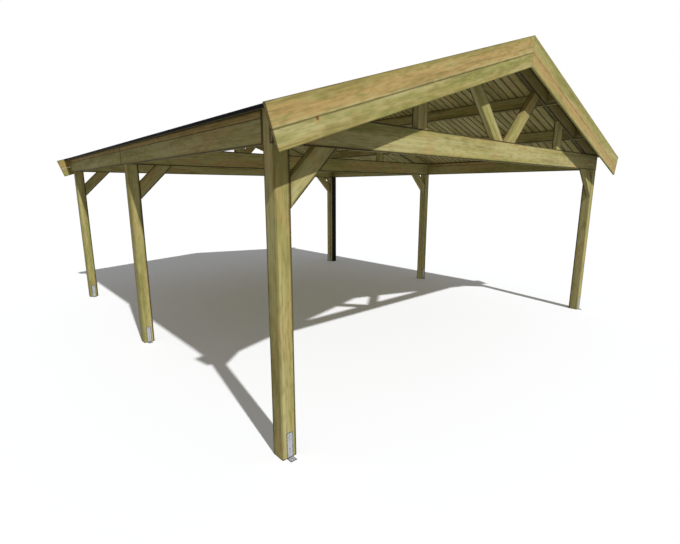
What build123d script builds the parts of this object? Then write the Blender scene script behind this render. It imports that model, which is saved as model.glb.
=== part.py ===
from build123d import *
import os
from math import cos, radians, sin, sqrt, tan

os.makedirs("parts", exist_ok=True)

# Open timber carport: a gable roof on three trusses and two rows of three posts.
# Millimetres. X runs across the gable, Y from front to back and Z up.
# The origin is on the ground, in the middle of the plan.

# Frame
frame_width = 6500.0  # over the outer faces of the posts
frame_depth = 7000.0  # over the front and back faces of the posts
middle_setback = 3470.0  # front face of the front posts to front face of the middle posts
post_size = 140.0
post_height = 2460.0
post_chamfer = 9.0
beam_height = 240.0
beam_thickness = 42.0
splice_setback = 118.0  # back of the middle posts to the joint in the side beams
cleat_thickness = 28.0
cleat_inset = 30.0  # edges of the side beams to the edges of the splice cleats

# Braces and struts
strut_width = 160.0
strut_thickness = 70.0
strut_chamfer = 6.0
brace_reach = 450.0  # inner face of the post to the far end of the brace
upright_offset = 1595.0  # ridge line to the middle of an upright strut
slanted_foot = 29.0  # ridge line to the near edge of a slanted strut's foot
slant_angle = 45.0

# Roof
roof_pitch = 18.0
rafter_depth = 175.0
rafter_thickness = 38.0
purlin_depth = 175.0
purlin_thickness = 38.0
ridge_thickness = 60.0
purlin_rows = {"upper": 1083.0, "lower": 2167.0}  # ridge line to the uphill face
eaves_overhang = 90.0  # outer face of the posts to the roof's edge, under the deck
barge_overhang = 204.0  # outer face of the posts to the ends of the bargeboards
gable_overhang = 250.0  # front face of the posts to the face of the bargeboards
deck_thickness = 24.0
covering_thickness = 6.0
drip_thickness = 2.0
drip_flange = 60.0
drip_turn = 17.0  # how far the drip edge comes down over the edge of the deck
barge_thickness = 22.0
barge_upstand = 36.0  # above the underside of the deck
upper_barge_depth = 166.0
lower_barge_depth = 138.0
barge_gap = 2.0

# Post brackets
bracket_width = 60.0
bracket_height = 230.0
bracket_foot = 58.0
bracket_thickness = 4.0
bracket_bend = 6.0
anchor_radius = 6.5
anchor_setback = 34.0  # face of the post to the middle of the anchor hole

# Service duct on the back right post
duct_depth = 94.0
duct_side = 22.0
cover_thickness = 4.0

# Levels and lines that follow from the sizes above
half_width = frame_width / 2
beam_top = post_height + beam_height
slope = radians(roof_pitch)
ridge_height = beam_top + half_width * tan(slope)
rafter_drop = rafter_depth / cos(slope)
trusses = {
    "front": -frame_depth / 2,
    "middle": -frame_depth / 2 + middle_setback,
    "back": frame_depth / 2 - post_size,
}
sides = {"left": -1, "right": 1}
post_middle = half_width - post_size / 2
post_inside = half_width - post_size
side_beam_inside = half_width - beam_thickness
rafter_inset = (beam_thickness - rafter_thickness) / 2
barge_front = -frame_depth / 2 - gable_overhang
barge_back = frame_depth / 2 + gable_overhang
roof_start = barge_front + barge_thickness
roof_end = barge_back - barge_thickness
roof_edge = half_width + eaves_overhang
barge_edge = half_width + barge_overhang


def elevation(y):
    """The upright plane across the carport at y, with X to the right and Z up."""
    return Plane.XZ.offset(-y)


def underside(x):
    """Height of the deck's underside at the distance x from the ridge line."""
    return ridge_height - x * tan(slope)


def on_slope(side, x, rise):
    """The point that lies the distance rise square above the deck's underside at x."""
    return (side * (x + rise * sin(slope)), underside(x) + rise * cos(slope))


def slope_band(side, edge, low, high):
    """Corners of one layer of the roof, plumb at the ridge and square at the eaves."""
    return [
        (0, ridge_height + low / cos(slope)),
        on_slope(side, edge, low),
        on_slope(side, edge, high),
        (0, ridge_height + high / cos(slope)),
    ]


def between_rafters():
    """The stretches along Y, from gable to gable, that the rafters leave free."""
    stretches = []
    here = roof_start
    for line in trusses.values():
        stretches.append((here, line + rafter_inset))
        here = line + rafter_inset + rafter_thickness
    stretches.append((here, roof_end))
    return stretches


def save(part, name):
    """Label a finished piece and write it."""
    part.label = name
    export_step(part, f"parts/{name}.step")


# Posts with chamfered arrises
for side_name, side in sides.items():
    for row, line in trusses.items():
        with BuildPart() as post:
            with BuildSketch(Plane.XY):
                with Locations((side * post_middle, line + post_size / 2)):
                    Rectangle(post_size, post_size)
            extrude(amount=post_height)
            chamfer(post.edges().filter_by(Axis.Z), post_chamfer)
        save(post.part, f"post_{row}_{side_name}")

# Tie beams: deep boards flush with the front of the posts. The front one runs out to the
# outer faces of the posts, and the others fit between the side beams.
beam_middle = post_height + beam_height / 2
for row, line in trusses.items():
    reach = half_width if row == "front" else side_beam_inside
    with BuildPart() as tie_beam:
        with BuildSketch(elevation(line)):
            with Locations((0, beam_middle)):
                Rectangle(2 * reach, beam_height)
        extrude(amount=-beam_thickness)
    save(tie_beam.part, f"tie_beam_{row}")

# Post heads: blocks on the posts that fill the room behind the tie beams
for side_name, side in sides.items():
    with BuildPart() as heads:
        for row, line in trusses.items():
            outside = half_width if row == "front" else side_beam_inside
            with BuildSketch(elevation(line + beam_thickness)):
                with Locations((side * (post_inside + outside) / 2, beam_middle)):
                    Rectangle(outside - post_inside, beam_height)
            extrude(amount=beam_thickness - post_size)
    save(heads.part, f"post_heads_{side_name}")

# Side beams: boards flush with the outer faces of the posts, in two lengths that meet
# behind the middle posts. The back ones carry on to the bargeboards.
splice = trusses["middle"] + post_size + splice_setback
beam_lengths = {
    "front": (trusses["front"] + post_size, splice),
    "back": (splice, roof_end),
}
for side_name, side in sides.items():
    for length_name, (start, end) in beam_lengths.items():
        with BuildPart() as side_beam:
            with BuildSketch(elevation(start)):
                with Locations((side * (half_width - beam_thickness / 2), beam_middle)):
                    Rectangle(beam_thickness, beam_height)
            extrude(amount=start - end)
        save(side_beam.part, f"side_beam_{length_name}_{side_name}")

# Splice cleats: boards behind the joints in the side beams
with BuildPart() as cleats:
    with BuildSketch(elevation(splice - splice_setback)):
        with Locations((0, beam_middle)):
            with GridLocations(2 * side_beam_inside - cleat_thickness, 1, 2, 1):
                Rectangle(cleat_thickness, beam_height - 2 * cleat_inset)
    extrude(amount=-2 * splice_setback)
save(cleats.part, "splice_cleats")

# Rafters, cut plumb at the ridge and level where they sit on the tie beam
seat_start = half_width - rafter_drop / tan(slope)
for side_name, side in sides.items():
    for row, line in trusses.items():
        with BuildPart() as rafter:
            with BuildSketch(elevation(line + rafter_inset)):
                with BuildLine():
                    Polyline(
                        (0, ridge_height),
                        (side * half_width, beam_top),
                        (side * seat_start, beam_top),
                        (0, ridge_height - rafter_drop),
                        close=True,
                    )
                make_face()
            extrude(amount=-rafter_thickness)
        save(rafter.part, f"rafter_{row}_{side_name}")

# Knee braces from post to tie beam, flush with the front of both
brace_cut = strut_width * sqrt(2)
for side_name, side in sides.items():
    for row, line in trusses.items():
        with BuildPart() as brace:
            with BuildSketch(elevation(line)):
                with BuildLine():
                    Polyline(
                        (side * post_inside, post_height - brace_reach),
                        (side * (post_inside - brace_reach), post_height),
                        (side * (post_inside - brace_reach + brace_cut), post_height),
                        (side * post_inside, post_height - brace_reach + brace_cut),
                        close=True,
                    )
                make_face()
            extrude(amount=-strut_thickness)
            along = Axis((0, 0, 0), (side, 0, -1))
            chamfer(brace.edges().filter_by(along), strut_chamfer)
        save(brace.part, f"knee_brace_{row}_{side_name}")

# Truss struts: an upright and a slanted one under each rafter, cut to its underside
foot_width = strut_width / sin(radians(slant_angle))
lean = 1 / tan(radians(slant_angle))


def strut_top(foot, run):
    """Top corner of an edge that starts at foot and runs sideways by run per unit of height."""
    rise = (underside(foot) - rafter_drop - beam_top) / (1 + run * tan(slope))
    return (foot + run * rise, beam_top + rise)


def strut_outline(near, far, run):
    """Corners of a strut between two parallel edges."""
    return [(near, beam_top), (far, beam_top), strut_top(far, run), strut_top(near, run)]


upright = strut_outline(upright_offset - strut_width / 2, upright_offset + strut_width / 2, 0)
slanted = strut_outline(slanted_foot, slanted_foot + foot_width, lean)
for row, line in trusses.items():
    with BuildPart() as struts:
        with BuildSketch(elevation(line)):
            for outline in (upright, slanted):
                with BuildLine():
                    Polyline(*outline, close=True)
                make_face()
            mirror(about=Plane.YZ)
        extrude(amount=-strut_thickness)
        for run in (0, lean, -lean):
            along = Axis((0, 0, 0), (run, 0, 1))
            chamfer(struts.edges().filter_by(along), strut_chamfer)
    save(struts.part, f"truss_struts_{row}")

# Purlins, square to the slope and butted between the rafters. Their ends past the outer
# rafters carry the bargeboards.
for side_name, side in sides.items():
    for row, distance in purlin_rows.items():
        with BuildPart() as purlin:
            for start, end in between_rafters():
                with BuildSketch(elevation(start)):
                    with Locations((side * distance, underside(distance))):
                        Rectangle(
                            purlin_thickness,
                            purlin_depth,
                            rotation=-side * roof_pitch,
                            align=(Align.MIN if side > 0 else Align.MAX, Align.MAX),
                        )
                extrude(amount=start - end)
        save(purlin.part, f"purlin_{row}_{side_name}")

# Ridge board, bevelled to both slopes
with BuildPart() as ridge:
    for start, end in between_rafters():
        with BuildSketch(elevation(start)):
            with BuildLine():
                Polyline(
                    (0, ridge_height),
                    (ridge_thickness / 2, underside(ridge_thickness / 2)),
                    (ridge_thickness / 2, ridge_height - rafter_drop),
                    (-ridge_thickness / 2, ridge_height - rafter_drop),
                    (-ridge_thickness / 2, underside(ridge_thickness / 2)),
                    close=True,
                )
            make_face()
        extrude(amount=start - end)
save(ridge.part, "ridge_board")

# Eaves fillets: wedges that close the gap between the level side beams and the deck
for side_name, side in sides.items():
    with BuildPart() as fillets:
        for start, end in between_rafters()[1:]:
            with BuildSketch(elevation(start)):
                with BuildLine():
                    Polyline(
                        (side * half_width, beam_top),
                        (side * side_beam_inside, beam_top),
                        (side * side_beam_inside, underside(side_beam_inside)),
                        close=True,
                    )
                make_face()
            extrude(amount=start - end)
    save(fillets.part, f"eaves_fillet_{side_name}")

# Roof deck and its covering, between the bargeboards
deck_edge = roof_edge - drip_thickness * cos(slope)
covering_top = deck_thickness + covering_thickness
layers = {"roof_deck": (0, deck_thickness), "roof_covering": (deck_thickness, covering_top)}
for side_name, side in sides.items():
    for layer_name, (low, high) in layers.items():
        with BuildPart() as layer:
            with BuildSketch(elevation(roof_start)):
                with BuildLine():
                    Polyline(*slope_band(side, deck_edge, low, high), close=True)
                make_face()
            extrude(amount=roof_start - roof_end)
        save(layer.part, f"{layer_name}_{side_name}")

# Drip edges, folded over the covering and down over the edge of the deck
drip_top = covering_top + drip_thickness
drip_low = deck_thickness - drip_turn
flange_edge = roof_edge - drip_flange * cos(slope)
for side_name, side in sides.items():
    with BuildPart() as drip:
        with BuildSketch(elevation(roof_start)):
            with BuildLine():
                Polyline(
                    on_slope(side, roof_edge, drip_low),
                    on_slope(side, roof_edge, drip_top),
                    on_slope(side, flange_edge, drip_top),
                    on_slope(side, flange_edge, covering_top),
                    on_slope(side, deck_edge, covering_top),
                    on_slope(side, deck_edge, drip_low),
                    close=True,
                )
            make_face()
        extrude(amount=roof_start - roof_end)
    save(drip.part, f"drip_edge_{side_name}")

# Bargeboards: an upper and a lower board on each half of both gables
upper_low = barge_upstand - upper_barge_depth
lower_high = upper_low - barge_gap
for gable, start in {"front": barge_front, "back": roof_end}.items():
    for side_name, side in sides.items():
        with BuildPart() as boards:
            with BuildSketch(elevation(start)):
                with BuildLine():
                    Polyline(*slope_band(side, barge_edge, upper_low, barge_upstand), close=True)
                make_face()
                with BuildLine():
                    Polyline(
                        *slope_band(side, barge_edge, lower_high - lower_barge_depth, lower_high),
                        close=True,
                    )
                make_face()
            extrude(amount=-barge_thickness)
        save(boards.part, f"bargeboards_{gable}_{side_name}")

# Post brackets: folded plate angles on two opposite faces of each post, with an anchor
# hole in the foot. The duct takes the front of the back right post, so its pair turns.
fold = (bracket_thickness, bracket_thickness)
bend_outside = bracket_bend + bracket_thickness
for side_name, side in sides.items():
    for row, line in trusses.items():
        turned = row == "back" and side_name == "right"
        across = Vector(1, 0, 0) if turned else Vector(0, 1, 0)
        centre = Vector(side * post_middle, line + post_size / 2, 0)
        with BuildPart() as brackets:
            for outward in (across, -across):
                face = centre + outward * (post_size / 2)
                section = Plane(face, x_dir=outward, z_dir=outward.cross(Vector(0, 0, 1)))
                with BuildSketch(section) as profile:
                    with BuildLine():
                        Polyline(
                            (0, 0),
                            (bracket_foot, 0),
                            (bracket_foot, bracket_thickness),
                            (bracket_thickness, bracket_thickness),
                            (bracket_thickness, bracket_height),
                            (0, bracket_height),
                            close=True,
                        )
                    make_face()
                    fillet(profile.vertices().sort_by_distance((0, 0))[0], bend_outside)
                    fillet(profile.vertices().sort_by_distance(fold)[0], bracket_bend)
                extrude(amount=bracket_width / 2, both=True)
                anchor = face + outward * anchor_setback
                with Locations((anchor.X, anchor.Y, bracket_thickness)):
                    Hole(anchor_radius, bracket_thickness)
        save(brackets.part, f"post_brackets_{row}_{side_name}")

# Service duct: two side boards on the front of the back right post, and a flat cover
duct_back = trusses["back"]
with BuildPart() as duct:
    with BuildSketch(Plane.XY):
        with Locations((post_middle, duct_back - duct_depth / 2)):
            with GridLocations(post_size - duct_side, 1, 2, 1):
                Rectangle(duct_side, duct_depth)
    extrude(amount=post_height)
save(duct.part, "service_duct_sides")
with BuildPart() as cover:
    with BuildSketch(Plane.XY):
        with Locations((post_middle, duct_back - duct_depth - cover_thickness / 2)):
            Rectangle(post_size, cover_thickness)
    extrude(amount=post_height)
save(cover.part, "service_duct_cover")
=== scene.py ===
"""Looks of an open timber carport with a gable roof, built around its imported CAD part.

The frame timbers, brackets and trims are the CAD's own pieces with finishes of their own.
The roof's boards and felt and the fixings are made here, in metres, in the CAD's frame:
X across the gable, Y from front to back, Z up, with the origin on the ground.
"""

import logging
from dataclasses import dataclass, field
from enum import Enum
from math import cos, pi, radians, sin, tan
from typing import Optional, Sequence, Union

import bpy
import numpy as np
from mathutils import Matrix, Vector


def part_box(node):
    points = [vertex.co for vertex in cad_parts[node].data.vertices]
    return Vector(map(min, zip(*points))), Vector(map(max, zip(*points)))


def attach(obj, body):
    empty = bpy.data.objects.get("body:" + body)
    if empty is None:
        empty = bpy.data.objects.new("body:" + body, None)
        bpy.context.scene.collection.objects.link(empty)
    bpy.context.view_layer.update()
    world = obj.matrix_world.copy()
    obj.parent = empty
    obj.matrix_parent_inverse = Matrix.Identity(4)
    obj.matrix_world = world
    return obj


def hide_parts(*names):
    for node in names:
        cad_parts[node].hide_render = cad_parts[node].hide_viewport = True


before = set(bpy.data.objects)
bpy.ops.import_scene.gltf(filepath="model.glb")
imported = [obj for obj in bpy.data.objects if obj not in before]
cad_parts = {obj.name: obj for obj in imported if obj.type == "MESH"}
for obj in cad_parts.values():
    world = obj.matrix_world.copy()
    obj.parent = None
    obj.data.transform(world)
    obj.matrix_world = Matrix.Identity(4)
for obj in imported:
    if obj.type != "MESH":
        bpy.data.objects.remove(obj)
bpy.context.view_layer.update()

LOG = logging.getLogger("carport")

Colour = tuple[float, float, float]
Direction = tuple[float, float, float]

ACROSS: Direction = (1.0, 0.0, 0.0)
BACK: Direction = (0.0, 1.0, 0.0)
FORWARD: Direction = (0.0, -1.0, 0.0)
UP: Direction = (0.0, 0.0, 1.0)
DIAGONAL = sin(pi / 4)
PITCH = radians(18)
WHITE: Colour = (1.0, 1.0, 1.0)

ROWS = ("front", "middle", "back")
SIDES = (("left", -1), ("right", 1))


def linear(red: int, green: int, blue: int) -> Colour:
    """Turn a picture colour into a linear one.

    Args:
        red: red from 0 to 255.
        green: green from 0 to 255.
        blue: blue from 0 to 255.

    Returns:
        The colour as three numbers from 0 to 1, by the sRGB curve.
    """
    shares = [value / 255 for value in (red, green, blue)]
    curve = [c / 12.92 if c <= 0.04045 else ((c + 0.055) / 1.055) ** 2.4 for c in shares]
    return (curve[0], curve[1], curve[2])


class Tone(Enum):
    """Colours of green-treated softwood."""

    MOSS = linear(138, 137, 74)
    STRAW = linear(167, 157, 98)
    PALE = linear(181, 173, 120)
    HONEY = linear(178, 146, 92)
    OLIVE = linear(114, 110, 58)
    UMBER = linear(114, 96, 57)
    KNOT = linear(98, 66, 34)
    SHADOW_LINE = linear(46, 40, 18)


# Shader maths


class Value:
    """A number worked out at each point of a surface. Operators add Math nodes."""

    def __init__(self, shade: "Shade", socket: bpy.types.NodeSocket) -> None:
        """Wrap a socket of a material that is being built."""
        self.shade = shade
        self.socket = socket

    def __add__(self, other: "Term") -> "Value":
        """Sum."""
        return self.shade.maths("ADD", self, other)

    __radd__ = __add__

    def __sub__(self, other: "Term") -> "Value":
        """Difference."""
        return self.shade.maths("SUBTRACT", self, other)

    def __rsub__(self, other: "Term") -> "Value":
        """Difference, the other way round."""
        return self.shade.maths("SUBTRACT", other, self)

    def __mul__(self, other: "Term") -> "Value":
        """Product."""
        return self.shade.maths("MULTIPLY", self, other)

    __rmul__ = __mul__

    def __truediv__(self, other: "Term") -> "Value":
        """Quotient."""
        return self.shade.maths("DIVIDE", self, other)

    def __rtruediv__(self, other: "Term") -> "Value":
        """Quotient, the other way round."""
        return self.shade.maths("DIVIDE", other, self)

    def __abs__(self) -> "Value":
        """Size without its sign."""
        return self.shade.maths("ABSOLUTE", self)

    def __gt__(self, other: "Term") -> "Value":
        """1 where this is the greater, and 0 elsewhere."""
        return self.shade.maths("GREATER_THAN", self, other)

    def __lt__(self, other: "Term") -> "Value":
        """1 where this is the less, and 0 elsewhere."""
        return self.shade.maths("LESS_THAN", self, other)

    def fraction(self) -> "Value":
        """What is left after the whole number."""
        return self.shade.maths("FRACT", self)

    def capped(self) -> "Value":
        """Held between 0 and 1."""
        return self.shade.maths("MINIMUM", self.shade.maths("MAXIMUM", self, 0.0), 1.0)

    def smooth(self, low: "Term", high: "Term") -> "Value":
        """Rise smoothly from 0 at low to 1 at high.

        Args:
            low: where the rise starts; it may be above high, for a fall.
            high: where it ends.

        Returns:
            3t2 - 2t3, where t runs from 0 at low to 1 at high.
        """
        settings = {"interpolation_type": "SMOOTHSTEP"}
        inputs = {"Value": self, "From Min": low, "From Max": high}
        return Value(self.shade, self.shade.node("ShaderNodeMapRange", settings, inputs).outputs[0])


Term = Union[Value, float]
Paint = Union[bpy.types.NodeSocket, Colour]


class Shade:
    """The nodes of a material, or of a world, that is being built."""

    def __init__(self, name: str, world: Optional[bpy.types.World] = None) -> None:
        """Start an empty material, or empty a world's nodes.

        Args:
            name: the material's name.
            world: a world to build in place of a material, or none.
        """
        self.material = world or bpy.data.materials.new(name)
        self.material.use_nodes = True
        self.nodes = self.material.node_tree.nodes
        self.links = self.material.node_tree.links
        self.nodes.clear()

    def node(self, kind: str, settings: dict, inputs: dict) -> bpy.types.Node:
        """Add a node.

        Args:
            kind: the node's type.
            settings: its properties, set first. "stops" fills a colour ramp.
            inputs: a value or a link for each socket, by name or number.

        Returns:
            The node.
        """
        made = self.nodes.new(kind)
        for key, value in settings.items():
            if key == "stops":
                elements = made.color_ramp.elements
                while len(elements) < len(value):
                    elements.new(0.5)
                for element, (place, colour) in zip(elements, value):
                    element.position = place
                    element.color = (*colour, 1.0)
            else:
                setattr(made, key, value)
        for key, value in inputs.items():
            socket = made.inputs[key]
            if isinstance(value, Value):
                self.links.new(value.socket, socket)
            elif isinstance(value, bpy.types.NodeSocket):
                self.links.new(value, socket)
            elif isinstance(value, tuple) and socket.type == "RGBA":
                socket.default_value = (*value, 1.0)
            else:
                socket.default_value = value
        return made

    def maths(self, operation: str, *terms: Term) -> Value:
        """Add a Math node on one or two terms."""
        inputs = dict(enumerate(terms))
        return Value(self, self.node("ShaderNodeMath", {"operation": operation}, inputs).outputs[0])

    def position(self) -> bpy.types.NodeSocket:
        """The point's place on its piece, in metres."""
        return self.node("ShaderNodeTexCoord", {}, {}).outputs["Object"]

    def along(
        self, vector: bpy.types.NodeSocket, direction: Union[bpy.types.NodeSocket, Direction]
    ) -> Value:
        """How far a vector reaches in a direction: their dot product."""
        dot = self.node("ShaderNodeVectorMath", {"operation": "DOT_PRODUCT"}, {0: vector, 1: direction})
        return Value(self, dot.outputs["Value"])

    def axes(self) -> tuple[Value, Value, Value]:
        """The point's X, Y and Z on its piece, in metres."""
        point = self.position()
        return self.along(point, ACROSS), self.along(point, BACK), self.along(point, UP)

    def normal(self) -> bpy.types.NodeSocket:
        """The direction that the face points in."""
        return self.node("ShaderNodeNewGeometry", {}, {}).outputs["True Normal"]

    def vector(self, x: Term, y: Term, z: Term) -> bpy.types.NodeSocket:
        """Join three numbers into a vector."""
        return self.node("ShaderNodeCombineXYZ", {}, {0: x, 1: y, 2: z}).outputs[0]

    def noise(self, x: Term, y: Term, z: Term, detail: float = 2.0) -> Value:
        """Smooth noise, mostly from 0.3 to 0.7, with one swell per unit of its coordinates."""
        inputs = {"Vector": self.vector(x, y, z), "Scale": 1.0, "Detail": detail}
        return Value(self, self.node("ShaderNodeTexNoise", {}, inputs).outputs[0])

    def cells(self, vector: bpy.types.NodeSocket, scale: float = 1.0) -> tuple[Value, Value]:
        """Split space into cells of random shape.

        Args:
            vector: the place.
            scale: cells per unit of it.

        Returns:
            The distance to the middle of the nearest cell, and that cell's own number
            from 0 to 1.
        """
        made = self.node("ShaderNodeTexVoronoi", {}, {"Vector": vector, "Scale": scale})
        own = self.node("ShaderNodeSeparateColor", {}, {0: made.outputs["Color"]})
        return Value(self, made.outputs["Distance"]), Value(self, own.outputs[0])

    def mix(self, share: Term, first: Paint, second: Paint) -> bpy.types.NodeSocket:
        """Blend two colours.

        Args:
            share: how much of the second colour shows, from 0 to 1.
            first: the colour below.
            second: the colour on top.

        Returns:
            The blended colour.
        """
        settings = {"data_type": "RGBA"}
        return self.node("ShaderNodeMix", settings, {0: share, 6: first, 7: second}).outputs[2]

    def coat(self, colour: Paint, coats: Sequence[tuple[Term, Tone]]) -> Paint:
        """Lay coats of the timber's tones over a colour, each by its own share.

        Args:
            colour: the colour below.
            coats: for each coat, how much of it shows and its tone.

        Returns:
            The colour with its coats.
        """
        for share, tone in coats:
            colour = self.mix(share, colour, tone.value)
        return colour

    def ramp(self, place: Value, stops: Sequence[tuple[float, Colour]]) -> bpy.types.NodeSocket:
        """A colour for each value, from a few stops."""
        made = self.node("ShaderNodeValToRGB", {"stops": stops}, {"Fac": place})
        return made.outputs["Color"]

    def eased_normal(self, reach: float) -> bpy.types.NodeSocket:
        """The face's direction, turned towards its neighbours' within reach of an edge."""
        return self.node("ShaderNodeBevel", {"samples": 8}, {"Radius": reach}).outputs[0]

    def arris(self, reach: float, grain: Optional[Direction] = None) -> Value:
        """1 on the arrises of a piece, falling to 0 within reach of them.

        Args:
            reach: how far from an edge the eased normal begins to turn.
            grain: the direction of a piece whose butted ends stay plain, or none.

        Returns:
            A step in 1 - e n, with e the eased normal and n the face's. With a grain g,
            e is first turned square to it: e n / sqrt(1 - (e g)2).
        """
        eased = self.eased_normal(reach)
        turned = self.along(eased, self.normal())
        if grain is not None:
            lengthways = self.along(eased, grain)
            square = self.maths("MAXIMUM", 1.0 - lengthways * lengthways, 0.002)
            turned = turned / self.maths("SQRT", square)
        return (1.0 - turned).smooth(0.0008, 0.008)

    def corners(self, reach: float) -> Value:
        """Which corner of a chamfered piece a point is near, seen in plan.

        The product x y of the eased normal is 0 on the faces, up to 0.5 on the front left
        and back right chamfers, and down to -0.5 on the other two.
        """
        eased = self.eased_normal(reach)
        return self.along(eased, ACROSS) * self.along(eased, BACK)

    def surface(
        self,
        colour: Paint,
        roughness: Term,
        height: Optional[Value] = None,
        depth: float = 0.0,
        metallic: float = 0.0,
        specular: float = 0.5,
    ) -> bpy.types.Material:
        """Finish the material.

        Args:
            colour: base colour.
            roughness: roughness.
            height: relief from 0 to 1, or none.
            depth: the relief's full height in metres.
            metallic: 1 for bare metal.
            specular: strength of the gloss, 0.5 for a plain varnish.

        Returns:
            The material.
        """
        inputs = {
            "Base Color": colour,
            "Roughness": roughness,
            "Metallic": metallic,
            "Specular IOR Level": specular,
        }
        if height is not None:
            relief = {"Strength": 1.0, "Distance": depth, "Height": height}
            inputs["Normal"] = self.node("ShaderNodeBump", {}, relief).outputs[0]
        shader = self.node("ShaderNodeBsdfPrincipled", {}, inputs)
        self.node("ShaderNodeOutputMaterial", {}, {"Surface": shader.outputs[0]})
        return self.material


# The roof's planes


@dataclass(frozen=True)
class RoofSlope:
    """The two planes of the deck's underside, as read from the CAD deck."""

    pitch: float = PITCH
    deck_thickness: float = 0.024

    def ridge_height(self) -> float:
        """Height of the deck's underside at the ridge."""
        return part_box("roof_deck_left")[1].z - self.deck_thickness / cos(self.pitch)

    def eaves(self) -> float:
        """How far down the slope the deck's underside reaches from the ridge line."""
        edge = -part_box("roof_deck_left")[0].x - self.deck_thickness * sin(self.pitch)
        return edge / cos(self.pitch)

    def down(self, side: int) -> Direction:
        """The direction down the slope, on the left (-1) or the right (1)."""
        return (side * cos(self.pitch), 0.0, -sin(self.pitch))

    def points(
        self, side: int, distance: np.ndarray, y: np.ndarray, rise: np.ndarray
    ) -> np.ndarray:
        """Points over one slope.

        Args:
            side: -1 on the left and 1 on the right.
            distance: how far along the slope from the ridge.
            y: place along the ridge.
            rise: height square to the slope over the deck's underside.

        Returns:
            Rows of X, Y and Z: X = side (d cos p + r sin p), Z = H - d sin p + r cos p.
        """
        x = side * (distance * cos(self.pitch) + rise * sin(self.pitch))
        z = self.ridge_height() - distance * sin(self.pitch) + rise * cos(self.pitch)
        return np.stack(np.broadcast_arrays(x, y, z), axis=-1).reshape(-1, 3)


# Finishes


class Figure(Enum):
    """Noises in the figure of the wood.

    Each has its swells a metre along the grain and across it, a shift that keeps it apart
    from the others, and its detail.
    """

    BEND = (0.7, 3.0, 0.0, 1.0)
    BROAD = (0.4, 9.0, 0.0, 2.0)
    PATCH = (1.2, 6.0, 40.0, 1.0)
    STREAK = (0.8, 42.0, 0.0, 3.0)
    FIBRE = (4.0, 230.0, 0.0, 2.0)
    FLECK = (9.0, 46.0, 3.0, 3.0)
    STAIN = (1.5, 7.0, 11.0, 3.0)
    SPOT = (3.5, 5.0, 23.0, 1.0)


@dataclass(frozen=True)
class GrainPlace:
    """Where a point lies in its timber: along the grain and two ways across it."""

    along: Value
    across: Value
    through: Value

    def figure(self, kind: Figure) -> Value:
        """The noise of one kind at this place."""
        along, across, shift, detail = kind.value
        return self.along.shade.noise(
            self.along * along, self.across * across + shift, self.through * across, detail
        )

    def bent(self, shift: Value) -> "GrainPlace":
        """The place as it was before the grain bent aside by a shift."""
        return GrainPlace(self.along, self.across + shift, self.through + shift * 0.7)


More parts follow.
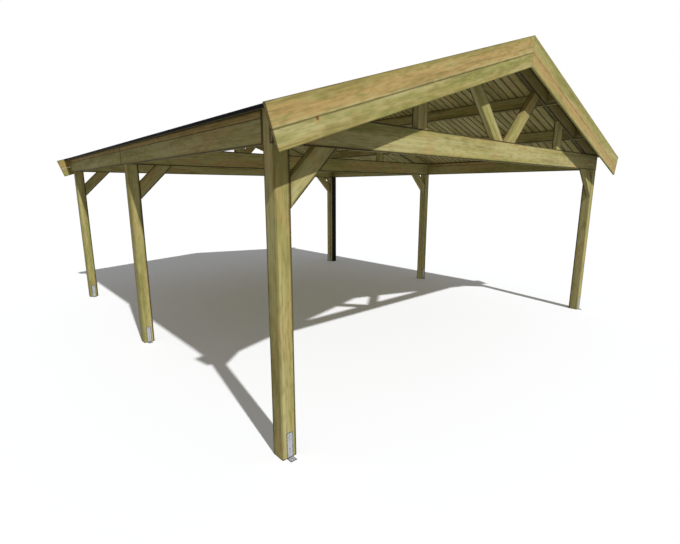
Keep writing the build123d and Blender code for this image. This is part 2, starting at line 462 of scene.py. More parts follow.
@dataclass(frozen=True)
class Timber:
    """Planed green-treated softwood whose grain runs in one direction."""

    name: str
    grain: Direction
    across: Direction
    seed: float = 0.0
    resin: float = 0.55
    arris_reach: float = 0.03
    arris_depth: float = 0.88
    dark_foot_height: float = 0.014
    chamfered: bool = False
    butted: bool = False
    specular: float = 0.12
    relief: float = 0.0008
    ring_width: float = 0.017
    knots_per_metre: float = 4.2
    knotless_share: float = 0.35
    largest_knot: float = 0.024
    knot_swell: float = 0.09

    def through(self) -> Direction:
        """The direction square to the grain and to across."""
        third = np.cross(self.grain, self.across)
        return (float(third[0]), float(third[1]), float(third[2]))

    def place(self, shade: Shade) -> GrainPlace:
        """Split the point's position along and across the grain.

        Args:
            shade: the material.

        Returns:
            The place along the grain and the two ways across it.
        """
        point = shade.position()
        return GrainPlace(
            shade.along(point, self.grain) + 3.1 * self.seed,
            shade.along(point, self.across) + 1.7 * self.seed,
            shade.along(point, self.through()),
        )

    def tinted(self, shade: Shade, colour: Paint) -> Paint:
        """Colour a timber's own bands over its grain; plain timber has none."""
        return colour

    def knot(self, shade: Shade, place: GrainPlace) -> tuple[Value, Value]:
        """Find the nearest knot.

        Args:
            shade: the material.
            place: where the point lies in the timber.

        Returns:
            The distance to the knot's middle and its radius. A cell's own number n gives
            the radius, (n - k) / (1 - k) of the largest, with k the knotless share.
        """
        rate = self.knots_per_metre
        spread = shade.vector(place.along * rate, place.across * rate, place.through * rate)
        distance, own = shade.cells(spread)
        share = (own - self.knotless_share) / (1.0 - self.knotless_share)
        return distance / rate, shade.maths("MAXIMUM", share, 0.01) * self.largest_knot

    def edges(self, shade: Shade) -> list[tuple[Term, Tone]]:
        """Coats for the edges of a piece.

        Args:
            shade: the material.

        Returns:
            A dark line along each arris. On a chamfered piece it keeps to two of the
            corners, and the other two get painted shade in olive.
        """
        if not self.chamfered:
            line = shade.arris(self.arris_reach, self.grain if self.butted else None)
            return [(line * self.arris_depth, Tone.SHADOW_LINE)]
        corners = shade.corners(self.arris_reach)
        return [
            # painted shade in olive on the front left and back right chamfers
            (corners.smooth(0.1, 0.4) * 0.5, Tone.OLIVE),
            (corners.smooth(-0.012, -0.08) * self.arris_depth, Tone.SHADOW_LINE),
        ]

    def build(self) -> bpy.types.Material:
        """Make the material.

        Long noise gives green, straw and pale bands. Noise stretched a little less gives
        honey patches, spots and olive stains, and tighter noise gives streaks, flecks and
        fibres. Growth rings are a saw wave across the grain. Knots are the cells of a
        Voronoi pattern with random radius, and the grain swells round them. Arrises, end
        grain and a foot that stands on the ground are darker.

        Returns:
            The material.
        """
        shade = Shade(self.name)
        straight = self.place(shade)
        from_knot, radius = self.knot(shade, straight)
        swell = (1.0 - from_knot / self.knot_swell).capped()
        place = straight.bent(straight.figure(Figure.BEND) * 0.05 + swell * swell * 0.02)
        broad, patch, spot = map(place.figure, (Figure.BROAD, Figure.PATCH, Figure.SPOT))
        stain, streak = map(place.figure, (Figure.STAIN, Figure.STREAK))
        fibre, fleck = map(place.figure, (Figure.FIBRE, Figure.FLECK))
        slant = place.across * 0.8 + place.through * 0.6 + broad * 0.08
        ring = (slant / self.ring_width).fraction().smooth(0.45, 0.95)
        end = abs(shade.along(shade.normal(), self.grain)).smooth(0.7, 0.95)
        height = shade.axes()[2]

        bands = [(0.34, Tone.MOSS), (0.47, Tone.STRAW), (0.58, Tone.PALE), (0.7, Tone.STRAW)]
        colour = shade.ramp(broad, [(stop, tone.value) for stop, tone in bands])
        patches = [
            (patch.smooth(0.5, 0.68) * self.resin, Tone.HONEY),
            (spot.smooth(0.6, 0.72) * self.resin, Tone.HONEY),
            (stain.smooth(0.52, 0.68) * 0.55, Tone.OLIVE),
        ]
        colour = self.tinted(shade, shade.coat(colour, patches))
        grain = [
            (streak.smooth(0.5, 0.72) * 0.42, Tone.UMBER),
            (ring * 0.16, Tone.UMBER),
            (fibre.smooth(0.45, 0.75) * 0.25, Tone.PALE),
            (fleck.smooth(0.5, 0.68) * 0.3, Tone.PALE),
            (fleck.smooth(0.5, 0.34) * 0.35, Tone.OLIVE),
            (from_knot.smooth(radius * 2.6, radius) * 0.45, Tone.HONEY),
            (from_knot.smooth(radius, radius * 0.6) * 0.85, Tone.KNOT),
            (end * 0.3, Tone.UMBER),
        ]
        # a darker band at the foot of a piece that stands on the ground
        dark_foot = height.smooth(self.dark_foot_height, self.dark_foot_height / 3)
        colour = shade.coat(colour, grain + self.edges(shade) + [(dark_foot * 0.7, Tone.SHADOW_LINE)])
        relief = streak * 0.5 + fibre * 0.5 - ring * 0.2
        roughness = 0.6 + streak * 0.3
        return shade.surface(colour, roughness, relief, self.relief, specular=self.specular)


@dataclass(frozen=True)
class StrutTimber(Timber):
    """Timber of the truss struts: upright ones and, near the ridge line, slanted ones."""

    slanted_reach: float = 1.2

    def place(self, shade: Shade) -> GrainPlace:
        """Split the position along an upright or, nearer the middle, along a 45 degree strut.

        Both halves of a truss mirror each other, so the distance from the ridge line
        stands for X: along = (x + z) / sqrt 2 in a slanted strut and z in an upright one.

        Args:
            shade: the material.

        Returns:
            The place along the grain and the two ways across it.
        """
        side, deep, up = shade.axes()
        out = abs(side)
        slanted = out < self.slanted_reach
        along = slanted * ((out + up) * DIAGONAL) + (1.0 - slanted) * up
        across = slanted * ((up - out) * DIAGONAL) + (1.0 - slanted) * out
        right = side > 0.0
        return GrainPlace(along + right * 2.3, across + right * 0.9, deep)


@dataclass(frozen=True)
class RafterTimber(Timber):
    """Timber of the rafters, paled all over by painted light, with painted shade on the narrow faces."""

    painted_light_share: float = 0.45
    painted_shade_depth: float = 0.75

    def tinted(self, shade: Shade, colour: Paint) -> Paint:
        """Paint light over the whole timber, then painted shade wherever a face points square to the
        slope.

        Args:
            shade: the material.
            colour: the wood's own colour.

        Returns:
            The tinted colour.
        """
        # painted light pales every face, and painted shade darkens the narrow faces square to the slope
        narrow_painted_shade = abs(shade.along(shade.normal(), self.through())).smooth(0.7, 0.95)
        coats = [(self.painted_light_share, Tone.PALE), (narrow_painted_shade * self.painted_shade_depth, Tone.SHADOW_LINE)]
        return shade.coat(colour, coats)


@dataclass(frozen=True)
class SideBeamTimber(Timber):
    """Timber of the side beams, with a brown band along the top."""

    band_low: float = 2.64
    band_blur: float = 0.004
    line_width: float = 0.0035
    weathering: float = 0.18

    def tinted(self, shade: Shade, colour: Paint) -> Paint:
        """Weather the beam, brown it above the band's line, and draw the line itself.

        Args:
            shade: the material.
            colour: the wood's own colour.

        Returns:
            The tinted colour.
        """
        up = shade.axes()[2]
        band = up.smooth(self.band_low - self.band_blur, self.band_low + self.band_blur)
        line = abs(up - self.band_low).smooth(self.line_width * 2, self.line_width)
        coats = [
            (self.weathering, Tone.OLIVE),
            (band * 0.75, Tone.HONEY),
            (line * 0.8, Tone.SHADOW_LINE),
        ]
        return shade.coat(colour, coats)


@dataclass(frozen=True)
class BargeTimber(Timber):
    """Timber of the bargeboards: a honey board and a green one on each half of a gable."""

    slope: RoofSlope = RoofSlope()
    joint_rise: float = -0.131
    top_rise: float = 0.036
    band_rise: float = -0.16

    def tinted(self, shade: Shade, colour: Paint) -> Paint:
        """Colour each board by its rise above the deck's underside.

        The rise is the distance square to the slope: x sin p + (z - ridge) cos p, with x
        the distance from the ridge line. On the left the upper board is honey with a
        green top edge. On the right a honey band runs along the joint and fades both ways.

        Args:
            shade: the material.
            colour: the wood's own colour.

        Returns:
            The tinted colour.
        """
        side, _, up = shade.axes()
        run = shade.along(shade.position(), self.grain)
        pitch = self.slope.pitch
        rise = abs(side) * sin(pitch) + (up - self.slope.ridge_height()) * cos(pitch)
        wavy = rise + (shade.noise(run * 0.9, rise * 4.0, 0.0, 1.0) - 0.5) * 0.09
        blotch = shade.noise(run * 2.6, rise * 16.0, 7.0, 3.0)
        stain = shade.noise(run * 1.7, rise * 8.0, 19.0, 2.0).smooth(0.54, 0.7)
        left = side < 0.0
        upper = left * (rise > self.joint_rise)
        band = (1.0 - left) * abs(wavy - self.band_rise).smooth(0.1, 0.03)
        honey = upper * blotch.smooth(0.22, 0.5) + band * blotch.smooth(0.28, 0.5)
        top = wavy.smooth(self.top_rise - 0.06, self.top_rise - 0.02)
        pale = abs(rise - self.joint_rise - 0.012).smooth(0.016, 0.004) * left
        coats = [
            (honey * 0.85, Tone.HONEY),
            ((1.0 - honey) * blotch.smooth(0.62, 0.42) * 0.5, Tone.MOSS),
            (top * 0.6, Tone.MOSS),
            (top * stain * 0.7, Tone.OLIVE),
            (pale * 0.6, Tone.PALE),
        ]
        return shade.coat(colour, coats)


@dataclass(frozen=True)
class DeckTimber(Timber):
    """Timber of the roof boards. Each board has a tint and a place in the log of its own."""

    board_width: float = 0.11
    first_joint: float = -3.728
    joint_line: float = 0.0035

    def place(self, shade: Shade) -> GrainPlace:
        """Shift the grain from board to board by the board's own tint.

        Args:
            shade: the material.

        Returns:
            The place along the grain and the two ways across it.
        """
        plain = super().place(shade)
        tint = self.own_tint(shade)
        return GrainPlace(plain.along + tint * 17.0, plain.across, plain.through + tint * 5.0)

    def own_tint(self, shade: Shade) -> Value:
        """The number from 0 to 1 that each board carries."""
        made = shade.node("ShaderNodeAttribute", {"attribute_name": "tint"}, {})
        return Value(shade, made.outputs["Fac"])

    def tinted(self, shade: Shade, colour: Paint) -> Paint:
        """Darken or pale whole boards, and draw the joints between them.

        Args:
            shade: the material.
            colour: the wood's own colour.

        Returns:
            The tinted colour.
        """
        tint = self.own_tint(shade)
        joints = (shade.axes()[1] - self.first_joint) / self.board_width
        joint = abs((joints + 0.5).fraction() - 0.5) * self.board_width
        coats = [
            (tint.smooth(0.45, 1.0) * 0.25, Tone.UMBER),
            (tint.smooth(0.4, 0.0) * 0.3, Tone.PALE),
            (joint.smooth(self.joint_line, self.joint_line / 3) * 0.5, Tone.SHADOW_LINE),
        ]
        return shade.coat(colour, coats)


@dataclass(frozen=True)
class Felt:
    """Mineral-faced roofing felt, laid in courses."""

    slope: RoofSlope
    cover: float
    cap_half: float
    name: str = "mineral_felt"
    chip: float = 0.0025
    chip_height: float = 0.0006
    seam: float = 0.018
    wash: float = 0.25
    dark: Colour = linear(48, 50, 52)
    pale: Colour = linear(66, 67, 68)
    stone: Colour = linear(108, 109, 110)
    worn: Colour = linear(38, 39, 41)
    washed: Colour = linear(40, 41, 42)
    shadow: Colour = linear(20, 20, 21)

    def build(self) -> bpy.types.Material:
        """Speckle charcoal with paler chips of stone, weather it, and paint shadow along the seams.

        The distance down the slope is d = |x| cos p + (H - z) sin p. A seam lies wherever
        eaves - d is a whole number of covers, and another below the edge of the ridge cap.

        Returns:
            The material.
        """
        shade = Shade(self.name)
        x, y, z = shade.axes()
        chips = shade.noise(x / self.chip, y / self.chip, z / self.chip, 1.0)
        clouds = shade.noise(x * 1.4, y * 0.8, z, 3.0)
        rolled = shade.noise(x * 16.0, y * 0.6, z * 5.0)
        pitch = self.slope.pitch
        down = abs(x) * cos(pitch) + (self.slope.ridge_height() - z) * sin(pitch)
        course = (((self.slope.eaves() - down) / self.cover + 0.5).fraction() - 0.5) * self.cover
        seam = abs(course + self.seam / 2).smooth(self.seam, self.seam / 3)
        cap = abs(down - self.cap_half - self.seam / 2).smooth(self.seam, self.seam / 3)
        washed = course.smooth(-self.wash, 0.0) * (course < 0.0)
        colour = shade.ramp(clouds, [(0.35, self.dark), (0.65, self.pale)])
        colour = shade.mix(chips.smooth(0.52, 0.7) * 0.6, colour, self.stone)
        colour = shade.mix(rolled.smooth(0.55, 0.75) * 0.25, colour, self.worn)
        colour = shade.mix(washed * clouds.smooth(0.35, 0.6) * 0.35, colour, self.washed)
        # painted shadow along each lap seam and below the edge of the ridge cap
        colour = shade.mix((seam + cap).capped() * 0.85, colour, self.shadow)
        return shade.surface(colour, 0.92, chips, self.chip_height, specular=0.25)


@dataclass(frozen=True)
class Galvanised:
    """Hot-dip galvanised steel with a fine spangle."""

    name: str = "galvanised_steel"
    spangle: float = 0.012
    spangle_height: float = 0.00005
    arris_reach: float = 0.014
    dark: Colour = linear(160, 162, 166)
    bright: Colour = linear(190, 192, 195)
    dull: Colour = linear(146, 148, 152)
    edge: Colour = linear(48, 46, 42)

    def build(self) -> bpy.types.Material:
        """Give each spangle its own grey, and dull the steel in soft patches.

        Returns:
            The material.
        """
        shade = Shade(self.name)
        _, grey = shade.cells(shade.position(), 1.0 / self.spangle)
        x, y, z = shade.axes()
        dull = shade.noise(x * 30.0, y * 30.0, z * 12.0, 3.0)
        colour = shade.mix(grey, self.dark, self.bright)
        colour = shade.mix(dull.smooth(0.5, 0.7) * 0.5, colour, self.dull)
        colour = shade.mix(shade.arris(self.arris_reach) * 0.85, colour, self.edge)
        roughness = 0.5 + dull * 0.2
        return shade.surface(colour, roughness, grey, self.spangle_height, 0.3, 0.3)


@dataclass(frozen=True)
class BlackMetal:
    """Black coated metal, a little dusty."""

    name: str
    coating: Colour = linear(20, 18, 22)
    roughness: float = 0.75
    dust: Colour = linear(70, 68, 64)

    def build(self) -> bpy.types.Material:
        """Lay a thin uneven veil of dust over black.

        Returns:
            The material.
        """
        shade = Shade(self.name)
        x, y, z = shade.axes()
        veil = shade.noise(x * 9.0, y * 2.0, z * 3.0, 3.0)
        colour = shade.mix(veil.smooth(0.5, 0.8) * 0.12, self.coating, self.dust)
        return shade.surface(colour, self.roughness + veil * 0.15, veil, 0.0001, specular=0.06)


@dataclass(frozen=True)
class Steel:
    """Plated steel of the screws."""

    name: str = "plated_screw_steel"
    dark: Colour = linear(118, 116, 108)
    bright: Colour = linear(150, 148, 140)

    def build(self) -> bpy.types.Material:
        """Plain steel with fine wear.

        Returns:
            The material.
        """
        shade = Shade(self.name)
        wear = shade.noise(*(axis * 400.0 for axis in shade.axes()))
        colour = shade.mix(wear, self.dark, self.bright)
        return shade.surface(colour, 0.4 + wear * 0.2, wear, 0.00005, 0.6, 0.3)


# Meshes


def add_piece(
    name: str,
    points: np.ndarray,
    faces: Sequence[Sequence[int]],
    material: bpy.types.Material,
) -> bpy.types.Object:
    """Put a mesh into the scene and on the frame's one body.

    Args:
        name: the piece's name.
        points: corners in metres, one row each.
        faces: corner numbers of each face.
        material: its finish.

    Returns:
        The piece.
    """
    mesh = bpy.data.meshes.new(name)
    mesh.from_pydata(points.tolist(), [], [list(face) for face in faces])
    mesh.materials.append(material)
    mesh.polygons.foreach_set("use_smooth", [False] * len(mesh.polygons))
    mesh.update()
    piece = bpy.data.objects.new(name, mesh)
    bpy.context.scene.collection.objects.link(piece)
    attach(piece, "root")
    LOG.info("%s: %d points, %d faces", name, len(points), len(faces))
    return piece


def prism_faces(corners: int, count: int, flip: bool) -> list[list[int]]:
    """Faces of a row of prisms, each a closed outline carried from one end to the other.

    Args:
        corners: corners of the outline.
        count: how many prisms, one after another in the points.
        flip: whether the faces are turned the other way round.

    Returns:
        Corner numbers: for each prism its side faces and its two ends.
    """
    ring = np.arange(corners)
    following = np.roll(ring, -1)
    sides = np.stack([ring, following, following + corners, ring + corners], axis=1)
    faces = []
    for index in range(count):
        base = index * 2 * corners
        faces.extend((sides + base).tolist())
        faces.append((ring[::-1] + base).tolist())
        faces.append((ring + corners + base).tolist())
    return [face[::-1] for face in faces] if flip else faces


@dataclass
class DeckBoards:
    """Tongued boards from the ridge to the eaves, each drawn as a plain board with a V joint underneath.
    """

    slope: RoofSlope
    count: int = 68
    vee: float = 0.004
    play: float = 0.0006
    seed: int = 5

    def outline(self, width: float) -> tuple[np.ndarray, np.ndarray]:
        """Cross-section of a board: two lower corners cut off at 45 degrees.

        Args:
            width: from joint to joint.

        Returns:
            Places across the board and rises.
        """
        low, high = self.play / 2, width - self.play / 2
        top = self.slope.deck_thickness
        across = np.array([low + self.vee, high - self.vee, high, high, low, low])
        rise = np.array([0.0, 0.0, self.vee, top, top, self.vee])
        return across, rise

    def build(self) -> None:
        """Lay the boards on both sides, cut plumb at the ridge and square at the eaves."""
        pitch = self.slope.pitch
        low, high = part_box("roof_deck_left")
        width = (high.y - low.y) / self.count
        across, rise = self.outline(width)
        starts = low.y + width * np.arange(self.count)
        y = starts[:, None, None] + np.broadcast_to(across, (2, len(across)))[None]
        distance = np.stack([-rise * tan(pitch), np.full(len(rise), self.slope.eaves())])
        distance = np.broadcast_to(distance, y.shape)
        rises = np.broadcast_to(rise, y.shape)
        tints = np.random.default_rng(self.seed).random((2, self.count))
        for name, side in SIDES:
            points = self.slope.points(side, distance, y, rises)
            finish = DeckTimber(
                f"deck_board_timber_{name}",
                grain=self.slope.down(side),
                across=BACK,
                board_width=width,
                first_joint=low.y,
                resin=0.4,
            ).build()
            faces = prism_faces(len(across), self.count, flip=side > 0)
            piece = add_piece(f"deck_boards_{name}", points, faces, finish)
            tint = piece.data.attributes.new("tint", "FLOAT", "POINT")
            row = tints[(side + 1) // 2]
            tint.data.foreach_set("value", np.repeat(row, 2 * len(across)).astype(np.float32))
            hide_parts(f"roof_deck_{name}")


@dataclass
class RoofFelt:
    """Courses of felt from the eaves up, each lapped over the one below, and a ridge cap."""

    slope: RoofSlope
    roll_width: float = 1.0
    head_lap: float = 0.075
    sheet: float = 0.003
    courses: int = 4
    cap_half: float = 0.2

    def cover(self) -> float:
        """How much of a course shows below the next one."""
        return self.roll_width - self.head_lap

    def strips(self) -> list[tuple[float, float, float, float]]:
        """Places of the underlay, the courses and half the cap on one slope.

        Returns:
            For each strip, how far down the slope its head and its foot lie, and the rise
            of its underside at both. The head of a course lies under the next course.
        """
        deck, eaves = self.slope.deck_thickness, self.slope.eaves()
        strips = [(0.0, eaves, deck, deck)]
        for course in range(self.courses):
            lower = eaves - course * self.cover()
            upper = max(lower - self.roll_width, 0.0)
            over = 0.0 if course == 0 else self.sheet
            strips.append((upper, lower, deck + self.sheet, deck + self.sheet + over))
        cap = deck + 2 * self.sheet
        return strips + [(0.0, self.cap_half, cap, cap)]

    def build(self) -> None:
        """Lay an underlay, the courses and half the ridge cap on each side."""
        low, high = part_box("roof_covering_left")
        finish = Felt(self.slope, self.cover(), self.cap_half).build()
        strips = self.strips()
        for name, side in SIDES:
            parts = []
            for upper, lower, head_rise, foot_rise in strips:
                distance = np.array([upper, lower, lower, upper])
                rise = np.array([head_rise, foot_rise, foot_rise + self.sheet, head_rise + self.sheet])
                if upper == 0.0:
                    distance = distance - np.array([1, 0, 0, 1]) * rise * tan(self.slope.pitch)
                for y in (low.y, high.y):
                    parts.append(self.slope.points(side, distance, np.full(4, y), rise))
            faces = prism_faces(4, len(strips), flip=side < 0)
            piece = add_piece(f"roof_felt_{name}", np.concatenate(parts), faces, finish)
            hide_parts(f"roof_covering_{name}")


@dataclass
class Screws:
    """Screw heads of one kind on upright faces, each a low dome with a recess."""

    name: str
    slot: str
    radius: float = 0.0045
    height: float = 0.0012
    sides: int = 12
    radii: tuple[float, ...] = (1.0, 1.0, 0.85, 0.55, 0.38, 0.3, 0.0)
    heights: tuple[float, ...] = (0.0, 0.35, 0.7, 0.95, 1.0, 0.45, 0.4)
    places: list[tuple[Sequence[float], Sequence[float]]] = field(default_factory=list)

    def add(self, centre: Sequence[float], outward: Sequence[float]) -> None:
        """Note a head by the middle of its foot and the direction that it faces."""
        self.places.append((centre, outward))

    def head(self) -> tuple[np.ndarray, list[list[int]]]:
        """Turn the profile about an upright axis.

        The profile's radii and heights are shares of the head's: a short upright rim, a
        dome that rises as 1 - r2, and a round recess down to the foot.

        Returns:
            The points of one head and the corner numbers of its faces.
        """
        radii = np.array(self.radii) * self.radius
        heights = np.array(self.heights) * self.height
        turn = np.linspace(0.0, 2 * pi, self.sides, endpoint=False)
        u = radii[:, None] * np.cos(turn)[None]
        v = radii[:, None] * np.sin(turn)[None]
        w = np.broadcast_to(heights[:, None], u.shape)
        rings = np.stack([u, v, w], axis=-1)[:-1].reshape(-1, 3)
        grid = np.arange(len(rings)).reshape(-1, self.sides)
        following = np.roll(grid, -1, axis=1)
        walls = np.stack([grid[:-1], following[:-1], following[1:], grid[1:]], axis=-1)
        pole = np.full(self.sides, len(rings))
        cap = np.stack([grid[-1], following[-1], pole], axis=-1)
        faces = walls.reshape(-1, 4).tolist() + cap.tolist() + [grid[0][::-1].tolist()]
        return np.concatenate([rings, [[0.0, 0.0, heights[-1]]]]), faces

    def build(self, material: bpy.types.Material) -> None:
        """Stand a head at each place, square to the direction that it faces.

        Args:
            material: the heads' finish.
        """
        head, head_faces = self.head()
        points, faces = [], []
        for index, (centre, outward) in enumerate(self.places):
            out = np.array(outward, float)
            out = out / np.linalg.norm(out)
            side = np.cross(UP, out)
            side = side / np.linalg.norm(side)
            points.append(np.array(centre, float) + head @ np.stack([side, np.cross(out, side), out]))
            faces.extend([corner + index * len(head) for corner in face] for face in head_faces)
        add_piece(self.name, np.concatenate(points), faces, material)


@dataclass
class Fixings:
    """The screws of the brackets and the knee braces."""

    strap_radius: float = 0.007
    strap_head: float = 0.0025
    strap_thickness: float = 0.004
    strap_heights: tuple[float, ...] = (0.085, 0.2)
    brace_width: float = 0.16
    end_distance: float = 0.06
    gauge: float = 0.036

    def strap_screws(self, material: bpy.types.Material) -> None:
        """Two heads on each bracket's strap.

        Args:
            material: the heads' finish.
        """
        screws = Screws("bracket_screws", "brackets", self.strap_radius, self.strap_head)
        for row in ROWS:
            for name, _ in SIDES:
                low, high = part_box(f"post_{row}_{name}")
                centre = (low + high) / 2
                half = (high.x - low.x) / 2
                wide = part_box(f"post_brackets_{row}_{name}")
                turned = wide[1].x - wide[0].x > wide[1].y - wide[0].y
                out = np.array(ACROSS if turned else BACK)
                for way in (-1, 1):
                    reach = way * (half + self.strap_thickness)
                    for z in self.strap_heights:
                        screws.add(np.array([centre.x, centre.y, z]) + out * reach, out * way)
        screws.build(material)

    def brace_screws(self, material: bpy.types.Material) -> None:
        """Two heads near each end of every knee brace, on its front face.

        Args:
            material: the heads' finish.
        """
        screws = Screws("brace_screws", "braces")
        width = self.brace_width * DIAGONAL
        for row in ROWS:
            for name, side in SIDES:
                low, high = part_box(f"knee_brace_{row}_{name}")
                inner = high.x if side < 0 else low.x
                outer = low.x if side < 0 else high.x
                foot = np.array([outer, low.y, low.z + width])
                head = np.array([inner + side * width, low.y, high.z])
                run = (head - foot) / np.linalg.norm(head - foot)
                cross = np.array([side * DIAGONAL, 0.0, DIAGONAL])
                for end, way in ((foot, 1), (head, -1)):
                    for offset in (-self.gauge, self.gauge):
                        place = end + run * way * self.end_distance + cross * offset
                        screws.add(place, FORWARD)
        screws.build(material)


@dataclass
class FrameTimbers:
    """The CAD's own timbers and trims, each group with its finish."""

    slope: RoofSlope
    barge_arris_reach: float = 0.012
    barge_arris_depths: tuple[float, float] = (0.55, 0.35)
    duct_black: Colour = linear(8, 8, 9)

    def dress(self, nodes: Sequence[str], material: bpy.types.Material) -> None:
        """Assign a finish to the material slots of CAD pieces.

        Args:
            nodes: the pieces' names.
            material: their finish.
        """
        for name in nodes:
            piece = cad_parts[name]
            if not piece.material_slots:
                piece.data.materials.append(material)
            for place in piece.material_slots:
                place.material = material
            LOG.info("%s: %s", name, material.name)

    def each(self, pattern: str, rows: Sequence[str] = ROWS) -> list[str]:
        """The names that a pattern gives for every row and side."""
        return [pattern.format(row=row, side=side) for row in rows for side, _ in SIDES]

    def posts_and_beams(self) -> None:
        """Dress what carries the roof."""
        posts = self.each("post_{row}_{side}") + self.each("post_heads_{side}", ("",))
        post = Timber("post_timber", UP, ACROSS, resin=0.4, chamfered=True)
        self.dress(posts, post.build())
        ties = [f"tie_beam_{row}" for row in ROWS]
        self.dress(ties, Timber("tie_beam_timber", ACROSS, UP, seed=1.0).build())
        beams = self.each("side_beam_{row}_{side}", ("front", "back"))
        self.dress(beams, SideBeamTimber("side_beam_timber", BACK, UP, seed=2.0).build())

    def trusses(self) -> None:
        """Dress the struts, the rafters and the knee braces."""
        struts = [f"truss_struts_{row}" for row in ROWS]
        strut = StrutTimber("strut_timber", UP, ACROSS, seed=4.0, chamfered=True)
        self.dress(struts, strut.build())
        for name, side in SIDES:
            down = self.slope.down(side)
            rafter = RafterTimber(f"rafter_timber_{name}", down, BACK, seed=5.0)
            self.dress([f"rafter_{row}_{name}" for row in ROWS], rafter.build())
            lean = (side * DIAGONAL, 0.0, -DIAGONAL)
            brace = Timber(f"brace_timber_{name}", lean, BACK, seed=8.0 + side, chamfered=True)
            self.dress([f"knee_brace_{row}_{name}" for row in ROWS], brace.build())

    def roof_timbers(self) -> None:
        """Dress the purlins, the pieces that are cut from the same stock, and the gables."""
        purlins = self.each("purlin_{row}_{side}", ("upper", "lower"))
        purlins += ["ridge_board", "splice_cleats"] + self.each("eaves_fillet_{side}", ("",))
        self.dress(purlins, Timber("purlin_timber", BACK, UP, seed=3.0, butted=True).build())
        for (name, side), depth in zip(SIDES, self.barge_arris_depths):
            barge = BargeTimber(
                f"barge_timber_{name}",
                self.slope.down(side),
                BACK,
                seed=6.0 + side,
                arris_reach=self.barge_arris_reach,
                arris_depth=depth,
                slope=self.slope,
            )
            self.dress([f"bargeboards_{end}_{name}" for end in ("front", "back")], barge.build())

    def trims(self) -> None:
        """Dress the duct, the drip edges and the brackets."""
        self.dress(["service_duct_sides"], Timber("duct_timber", UP, ACROSS, seed=10.0).build())
        cover = BlackMetal("duct_cover_black", self.duct_black, 0.5)
        self.dress(["service_duct_cover"], cover.build())
        self.dress(["drip_edge_left", "drip_edge_right"], BlackMetal("drip_edge_black").build())
        self.dress(self.each("post_brackets_{row}_{side}"), Galvanised().build())

    def build(self) -> None:
        """Dress every CAD piece that shows."""
        self.posts_and_beams()
        self.trusses()
        self.roof_timbers()
        self.trims()


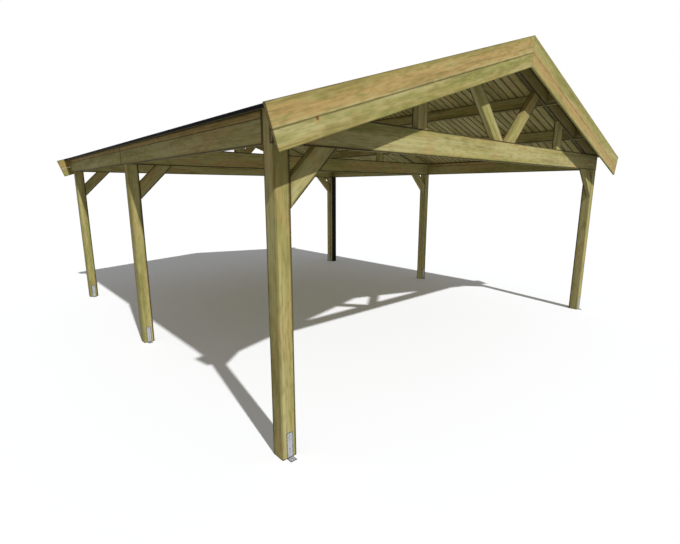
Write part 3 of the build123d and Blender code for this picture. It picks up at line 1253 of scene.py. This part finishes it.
@dataclass
class Studio:
    """Camera, lamp, pale floor and white surround."""

    eye: tuple[float, float, float] = (-4.8797, -6.0133, 2.1584)
    turn: float = radians(-41.789)
    tilt: float = radians(90 - 11.489)
    focal_pixels: float = 413.4
    image_width: float = 680.0
    sensor: float = 36.0
    sun_travel: tuple[float, float, float] = (0.193, 1.0, -0.992)
    sun_strength: float = 3.4
    sun_spread: float = radians(1.2)
    sky_strength: float = 0.25
    floor_glow: float = 0.42
    seen_glow: float = 0.045
    floor_colour: Colour = (0.97, 0.98, 1.0)
    floor_reach: float = 60.0
    farthest: float = 200.0

    def camera(self) -> None:
        """Stand where the photograph was taken from."""
        lens = bpy.data.cameras.new("camera")
        lens.sensor_width = self.sensor
        lens.lens = self.focal_pixels / self.image_width * self.sensor
        lens.clip_end = self.farthest
        camera = bpy.data.objects.new("camera", lens)
        camera.location = self.eye
        camera.rotation_euler = (self.tilt, 0.0, self.turn)
        bpy.context.scene.collection.objects.link(camera)
        bpy.context.scene.camera = camera

    def sun(self) -> None:
        """One lamp from the front left and above, as the photograph's shadows fall."""
        lamp = bpy.data.lights.new("sun", "SUN")
        lamp.energy = self.sun_strength
        lamp.angle = self.sun_spread
        holder = bpy.data.objects.new("sun", lamp)
        holder.rotation_euler = Vector(self.sun_travel).to_track_quat("-Z", "Y").to_euler()
        bpy.context.scene.collection.objects.link(holder)

    def seen(self, shade: Shade) -> Value:
        """1 for a ray that the eye sees directly, in a gloss or through glass.

        Args:
            shade: the material or world.

        Returns:
            A share from 0 to 1.
        """
        rays = shade.node("ShaderNodeLightPath", {}, {})
        kinds = ("Is Camera Ray", "Is Glossy Ray", "Is Transmission Ray")
        direct, glossy, through = (Value(shade, rays.outputs[kind]) for kind in kinds)
        return (direct + glossy + through).capped()

    def light(self, shade: Shade, kind: str, strength: float) -> bpy.types.NodeSocket:
        """White light of one kind, from the nodes of a background or an emission."""
        return shade.node(kind, {}, {"Color": WHITE, "Strength": strength}).outputs[0]

    def choose(
        self, shade: Shade, other: bpy.types.NodeSocket, eye: bpy.types.NodeSocket, output: str
    ) -> None:
        """Show one shader to the eye and another to the object's own light.

        Args:
            shade: the material or world.
            other: what lights the object.
            eye: what the eye sees.
            output: the type of the output node.
        """
        inputs = {0: self.seen(shade), 1: other, 2: eye}
        both = shade.node("ShaderNodeMixShader", {}, inputs)
        shade.node(output, {}, {"Surface": both.outputs[0]})

    def surround(self) -> None:
        """A white surround for the eye, and even light of the sky's strength for the object."""
        world = bpy.data.worlds.new("surround")
        bpy.context.scene.world = world
        shade = Shade("surround", world)
        sky = self.light(shade, "ShaderNodeBackground", self.sky_strength)
        white = self.light(shade, "ShaderNodeBackground", 1.0)
        self.choose(shade, sky, white, "ShaderNodeOutputWorld")

    def floor(self) -> None:
        """A pale floor that keeps the shadow and throws an even light up at the object."""
        shade = Shade("pale_floor")
        even = self.light(shade, "ShaderNodeEmission", self.floor_glow)
        pale = shade.node("ShaderNodeBsdfDiffuse", {}, {"Color": self.floor_colour}).outputs[0]
        glow = self.light(shade, "ShaderNodeEmission", self.seen_glow)
        white = shade.node("ShaderNodeAddShader", {}, {0: pale, 1: glow}).outputs[0]
        self.choose(shade, even, white, "ShaderNodeOutputMaterial")
        reach = self.floor_reach
        corners = [(-reach, -reach, 0.0), (reach, -reach, 0.0), (reach, reach, 0.0), (-reach, reach, 0.0)]
        mesh = bpy.data.meshes.new("floor")
        mesh.from_pydata(corners, [], [(0, 1, 2, 3)])
        mesh.materials.append(shade.material)
        floor = bpy.data.objects.new("floor", mesh)
        bpy.context.scene.collection.objects.link(floor)

    def build(self) -> None:
        """Set up everything that isn't the object."""
        bpy.context.scene.view_settings.view_transform = "Standard"
        self.camera()
        self.sun()
        self.surround()
        self.floor()


def main() -> None:
    """Build the sub-assemblies in order and note the sizes."""
    logging.basicConfig(level=logging.INFO, format="%(name)s: %(message)s")
    Studio().build()
    slope = RoofSlope()
    FrameTimbers(slope).build()
    DeckBoards(slope).build()
    RoofFelt(slope).build()
    fixings = Fixings()
    steel = Steel().build()
    fixings.strap_screws(steel)
    fixings.brace_screws(steel)


if __name__ == "__main__":
    main()
